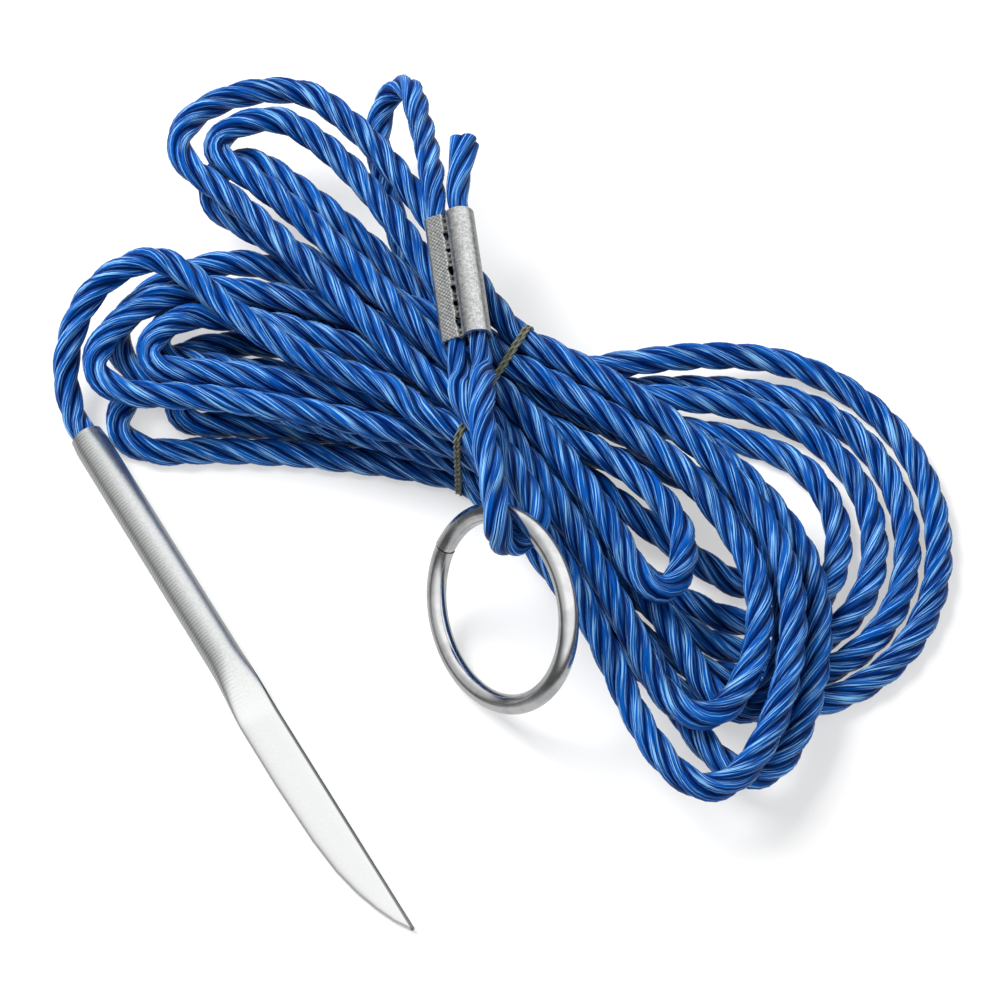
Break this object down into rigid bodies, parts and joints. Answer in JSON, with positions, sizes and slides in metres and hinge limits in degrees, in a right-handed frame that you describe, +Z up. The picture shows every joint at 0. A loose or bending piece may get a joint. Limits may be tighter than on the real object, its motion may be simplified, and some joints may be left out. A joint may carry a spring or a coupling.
{
  "type": "fish stringer",
  "caption": "Laid cord wound in a figure-eight hank and tied at its waist, with a flattened metal needle on one end and a steel ring held by a crimped eye on the other.",
  "frame": {"origin": "under the middle of the hank's waist, on the surface that the object lies on", "axes": "+Z up from the surface, +X to the right along the picture of the hank, +Y away from the ring's side towards the lead's arch"},
  "size_m": [0.1587, 0.1626, 0.034],
  "materials": {
    "cord": "semi-gloss laid polypropylene",
    "sleeve": "satin, knurled by the crimp",
    "ring": "polished",
    "needle": "satin, finely brushed",
    "tie": "matt twisted twine"
  },
  "bodies": {
    "root": {"hank": "cord", "needle_lead": "cord", "ring_lead": "cord", "cord_tail": "cord", "sleeve": "sleeve", "tie": "tie", "needle": "needle"},
    "eye": {"ring_eye": "cord"},
    "ring": {"ring": "ring"}
  },
  "joints": [
    {"name": "eye_swing", "type": "hinge", "parent": "root", "child": "eye", "pos_m": [-0.00441, 0.00342, 0.0244], "axis": [-0.9323, -0.1178, -0.342], "range_deg": [0, 55]},
    {"name": "ring_spin", "type": "hinge", "parent": "eye", "child": "ring", "pos_m": [0.00126, -0.04285, 0.01618], "axis": [-0.7332, -0.4353, 0.5225], "continuous": true}
  ]
}
